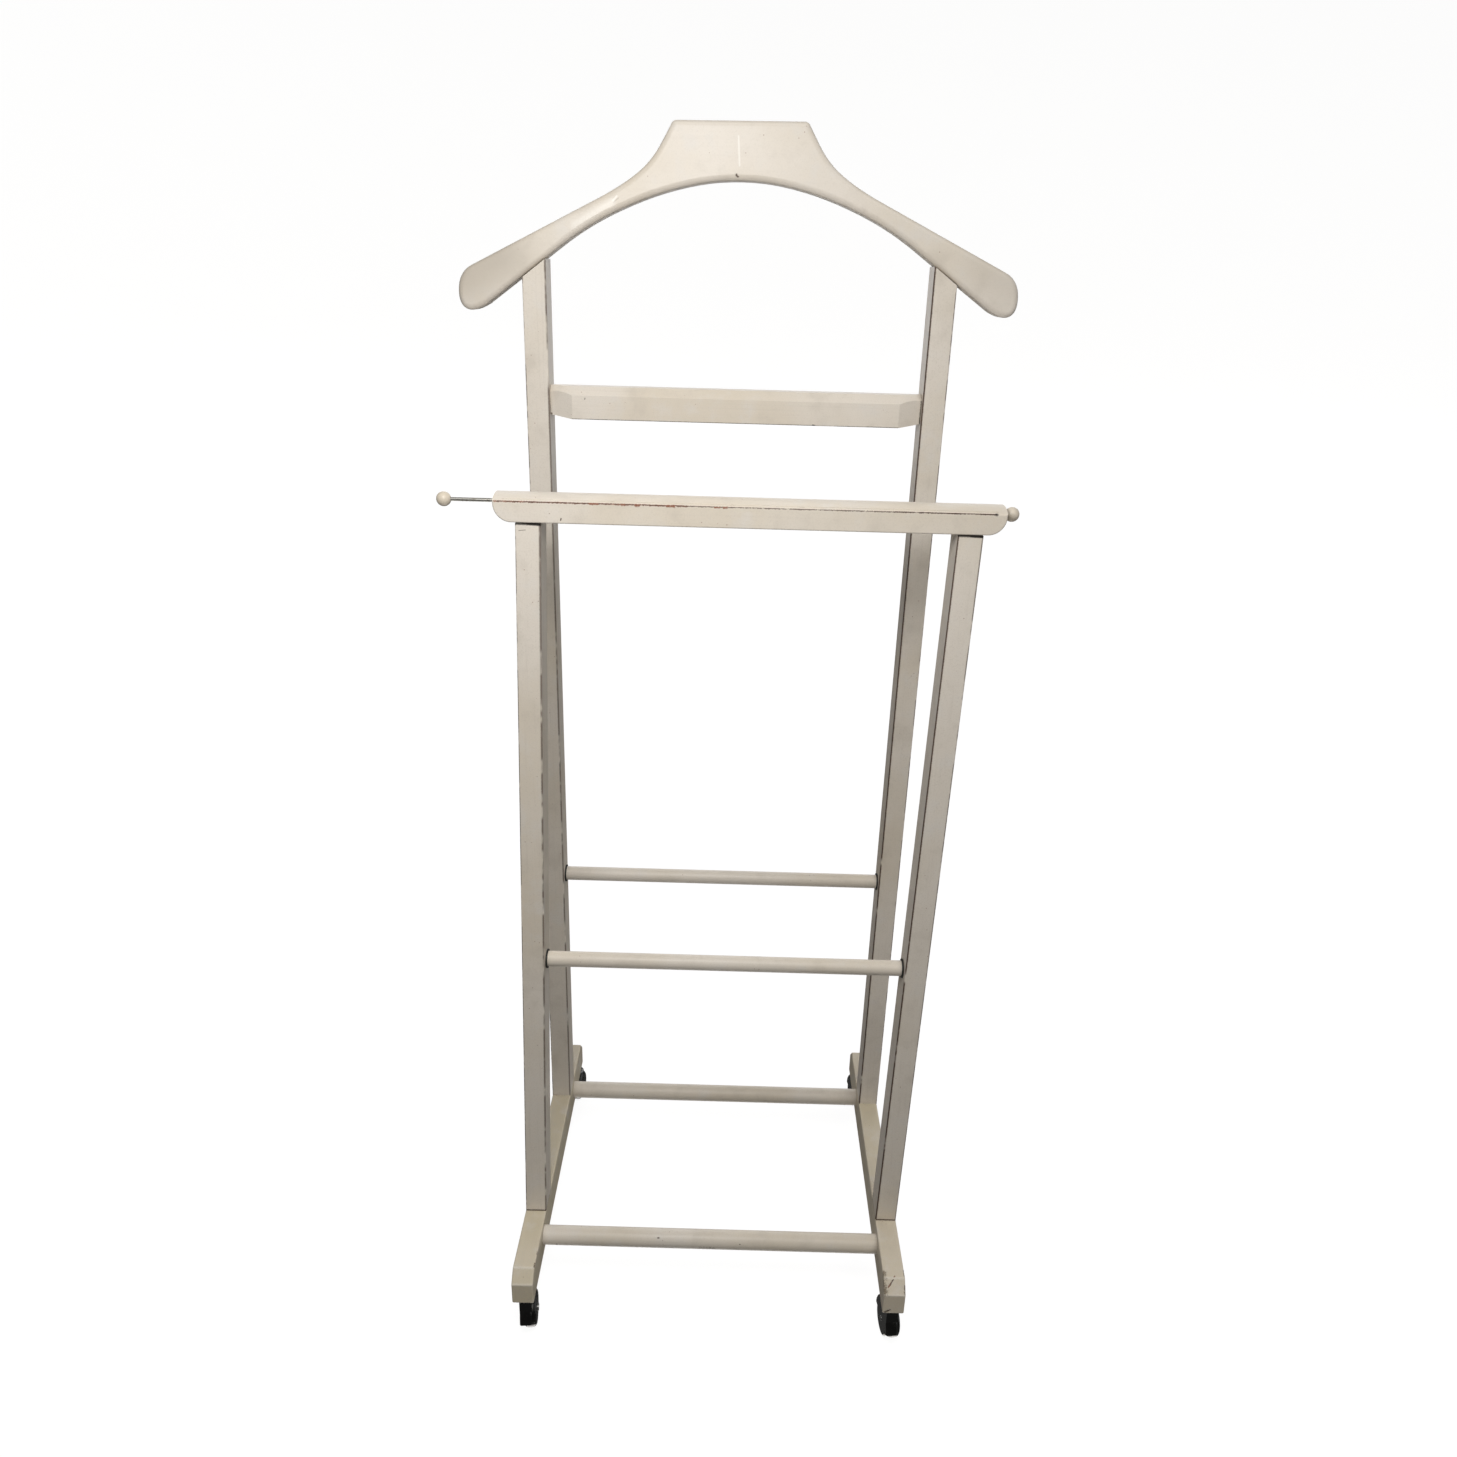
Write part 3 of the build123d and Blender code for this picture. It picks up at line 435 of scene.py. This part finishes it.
def yoke_marks():
    """A pale scratch, a chip over the arch, a thumbnail scar with a pale rub beside it, and painted shade on
    the arms.
    """
    low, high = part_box("yoke")
    right = (high[0], low[1], low[2])
    top = ((low[0] + high[0]) / 2, low[1], high[2])
    scar = shifted(top, -104, 0, -61)
    return [
        mark(top, (-3, 0, -12), (-1.6, 0, -33), 1.2, PAINT_LIGHT, soft=0.8, strength=0.8, deep=False,
             sheen=-0.12),
        mark(top, (-4, 0.2, -40), (-2.8, 0.2, -41), 1.6, BARE, ragged=0.5),
        mark(scar, (0, 0, 0), (3.4, 0, 3.4), 1.2, PAINT_LIGHT, soft=0.5, deep=False, sheen=-0.15),
        mark(scar, (0.6, 0, -1.4), (4.6, 0, 2.0), 0.8, PAINT_SHADE, soft=0.7, deep=False),
        mark(scar, (-1, 0, -1.5), (-32, 0, -19), 5.0, PAINT_LIGHT, soft=1.0, strength=0.5, deep=False,
             sheen=-0.16),
        # painted shade: the arms darkened, the left one most
        mark(low, (4, 0, 28), (36, 0, 44), 40.0, PAINT_SHADE, soft=1.0, strength=0.85, deep=False),
        mark(right, (0, 0, 30), (-30, 0, 42), 30.0, PAINT_SHADE, soft=1.0, strength=0.25, deep=False),
    ]


def dowel_marks():
    """A few specks and one faint smear on the dowel between the feet."""
    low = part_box("front_bottom_dowel")[0]
    return [
        mark(low, (122, 3, 15), (123, 3, 15), 1.6, BARE, strength=0.8),
        mark(low, (163, 1, 6), (176, 1, 6), 3.0, GRIME_AND_SHADE, soft=1.0, ragged=1.2, strength=0.5, deep=False),
        mark(low, (24, 0.5, 6), (24.6, 0.5, 6), 1.2, BARE),
        mark(low, (201, 1, 12), (201.6, 1, 12), 1.2, BARE),
    ]


# ---------------------------------------------------------------- a material for each CAD node
paints = {
    "yoke": painted("paint_yoke", "X", gloss=0.42, wear=0.3, grime_and_shade=0.7, coat=0.08, brushed=0.05,
                    marks=yoke_marks()),
    "bar": painted("paint_bar", "X", gloss=0.42, wear=0.6, marks=bar_marks()),
    "rail": painted("paint_rail", "X", gloss=0.42, wear=0.5, marks=rail_marks()),
    "post": painted("paint_post", "Z", gloss=0.44, wear=0.7, marks=post_marks()),
    "foot": painted("paint_foot", "Y", tone=PAINT_FOOT, gloss=0.42, wear=1.0, grime_and_shade=1.2, marks=foot_marks()),
    "dowel": painted("paint_dowel", "X", gloss=0.46, wear=0.5, marks=dowel_marks()),
    "ball": painted("paint_ball", "X", tone=PAINT_WARM, gloss=0.36, wear=0.2),
}
steel = metal("rod_steel", rgb(182, 180, 174), rgb(128, 120, 106), gloss=0.2)
brass = metal("bush_brass", rgb(176, 150, 96), rgb(112, 88, 52), gloss=0.25)
zinc = metal("caster_zinc", rgb(168, 168, 166), rgb(96, 92, 86), gloss=0.3)
hood_black = molded("caster_hood_black", rgb(5, 5, 5), rgb(28, 26, 23), gloss=0.12, coat=0.5)
wheel_black = molded("caster_wheel_black", rgb(6, 6, 6), rgb(32, 30, 26), gloss=0.2, coat=0.3)
washer_black = molded("washer_black", rgb(22, 21, 20), rgb(70, 66, 60), gloss=0.55, coat=0.0)
beech = bare_wood("pin_beech")

# the first of these words that is in a node's name decides its material
FINISHES = (
    ("yoke_pins", beech), ("rail_pins", beech), ("screws", zinc), ("yoke", paints["yoke"]),
    ("front_bar", paints["bar"]), ("upper_rail", paints["rail"]), ("post", paints["post"]),
    ("foot", paints["foot"]), ("washers", washer_black), ("dowel", paints["dowel"]),
    ("ball", paints["ball"]), ("bush", brass), ("rod_stop", brass), ("tie_rod", steel),
    ("hood", hood_black), ("wheel", wheel_black), ("caster", zinc),
)
for name, piece in nodes.items():
    piece.data.materials.clear()
    piece.data.materials.append(next(material for word, material in FINISHES if word in name))


# ---------------------------------------------------------------- the turned balls on the rods
def turned_ball(name):
    """A smooth turned wooden ball for a rod's end, slightly flat at both poles, in place of the CAD one."""
    low, high = (Vector(corner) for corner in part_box(name))
    centre = (low + high) / 2
    radius = (high.z - low.z) / 2
    half = (high.x - low.x) / 2
    rings, turns = 28, 48
    profile = []
    for k in range(rings + 1):
        angle = math.pi * k / rings
        along = min(max(-radius * math.cos(angle), -half), half)
        profile.append((along, max(radius * math.sin(angle), 0.0)))
    made = bmesh.new()
    loops = [
        [
            made.verts.new((centre.x + x, centre.y + r * math.cos(t), centre.z + r * math.sin(t)))
            for t in (2 * math.pi * k / turns for k in range(turns))
        ]
        for x, r in profile[1:-1]
    ]
    for first, second in zip(loops, loops[1:]):
        for k in range(turns):
            made.faces.new((first[k], first[(k + 1) % turns], second[(k + 1) % turns], second[k]))
    for loop, x in ((loops[0], profile[0][0]), (loops[-1], profile[-1][0])):
        tip = made.verts.new((centre.x + x, centre.y, centre.z))
        for k in range(turns):
            made.faces.new((loop[k], loop[(k + 1) % turns], tip))
    bmesh.ops.recalc_face_normals(made, faces=made.faces)
    mesh = bpy.data.meshes.new(name + "_turned")
    made.to_mesh(mesh)
    made.free()
    mesh.shade_smooth()
    ball = bpy.data.objects.new(name + "_turned", mesh)
    bpy.context.scene.collection.objects.link(ball)
    mesh.materials.append(paints["ball"])
    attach(ball, name.replace("_ball", ""))
    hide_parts(name)


turned_ball("left_rod_ball")
turned_ball("right_rod_ball")


# ---------------------------------------------------------------- floor, light and camera
def studio_bowl():
    """A wide pale floor that turns up smoothly into a wall far away, all round. Sizes are in metres."""
    floor_radius, bend_radius, wall_top = 7.0, 4.0, 12.0
    wall_radius = floor_radius + bend_radius
    turns = 64
    profile = [(floor_radius, 0.0)]
    for degrees in range(10, 91, 10):
        angle = math.radians(degrees)
        out, up = math.sin(angle), 1 - math.cos(angle)
        profile.append((floor_radius + bend_radius * out, bend_radius * up))
    profile.append((wall_radius, wall_top))
    verts = [(0.0, 0.0, 0.0)]
    for r, z in profile:
        for k in range(turns):
            angle = 2 * math.pi * k / turns
            verts.append((r * math.cos(angle), r * math.sin(angle), z))
    faces = [(0, 1 + k, 1 + (k + 1) % turns) for k in range(turns)]
    for ring in range(len(profile) - 1):
        low = 1 + ring * turns
        high = low + turns
        for k in range(turns):
            after = (k + 1) % turns
            faces.append((low + k, high + k, high + after, low + after))
    mesh = bpy.data.meshes.new("studio_floor")
    mesh.from_pydata(verts, [], faces)
    mesh.shade_smooth()
    bowl = bpy.data.objects.new("studio_floor", mesh)
    bpy.context.scene.collection.objects.link(bowl)
    s = Shader("studio_floor")
    tone = s.mix(s.noise(2.0, 3.0), rgb(112, 111, 110), rgb(106, 105, 104))
    mesh.materials.append(s.finish(tone, 0.9, Emission_Color=(1.0, 1.0, 1.0, 1.0), Emission_Strength=0.93))
    # the bowl is only looked at: it neither lights the stand nor blocks the room's light
    bowl.visible_diffuse = False
    bowl.visible_glossy = False
    bowl.visible_shadow = False


studio_bowl()


def light(name, kind, power, at, color):
    """A light at a point, turned towards the origin."""
    data = bpy.data.lights.new(name, kind)
    data.energy = power
    data.color = color
    made = bpy.data.objects.new(data.name, data)
    made.location = at
    made.rotation_euler = (-Vector(at)).to_track_quat("-Z", "Y").to_euler()
    made.visible_camera = False
    bpy.context.scene.collection.objects.link(made)
    return data


def lamp(name, radius, watts, at, color=(1, 1, 1)):
    """A soft round lamp."""
    light(name, "POINT", watts, at, color).shadow_soft_size = radius


def sky(name, angle, strength, toward, color=(1, 1, 1)):
    """A wide distant light that comes from a direction. angle is how wide it looks, in degrees."""
    light(name, "SUN", strength, toward, color).angle = math.radians(angle)


lamp("key", radius=0.16, watts=13.2, at=(-0.10, -0.57, 1.09), color=(1.0, 0.99, 0.975))
sky("overhead", angle=40, strength=0.9, toward=(0.14, -0.44, 0.66), color=(1.0, 0.975, 0.92))
sky("back_fill", angle=60, strength=1.1, toward=(0.0, 1.0, 0.35), color=(0.98, 0.98, 1.0))
sky("left_fill", angle=60, strength=0.18, toward=(-1.0, 0.2, 0.15))
sky("right_fill", angle=60, strength=0.5, toward=(1.0, 0.3, 0.15))
sky("floor_bounce", angle=40, strength=0.75, toward=(0.0, 0.12, -1.0), color=(1.0, 0.97, 0.93))

world = bpy.data.worlds.new("studio")
bpy.context.scene.world = world
world.use_nodes = True
background = world.node_tree.nodes["Background"]
background.inputs["Color"].default_value = (1.0, 0.98, 0.95, 1)
background.inputs["Strength"].default_value = 0.07

CAMERA_PLACE = (0.0046, -0.9343, 0.9314)
CAMERA_PAN = math.radians(0.03)
CAMERA_DOWN = math.radians(21.99)
CAMERA_ROLL = math.radians(1.58)
camera_data = bpy.data.cameras.new("photo_view")
camera_data.sensor_width = 36.0
camera_data.lens = 27.46
camera_data.clip_start = 0.02
camera_data.clip_end = 60.0
camera = bpy.data.objects.new("photo_view", camera_data)
turn = (
    Matrix.Rotation(CAMERA_PAN, 4, "Z")
    @ Matrix.Rotation(math.radians(90) - CAMERA_DOWN, 4, "X")
    @ Matrix.Rotation(CAMERA_ROLL, 4, "Z")
)
camera.matrix_world = Matrix.Translation(CAMERA_PLACE) @ turn
bpy.context.scene.collection.objects.link(camera)
bpy.context.scene.camera = camera
bpy.context.scene.view_settings.view_transform = "Standard"
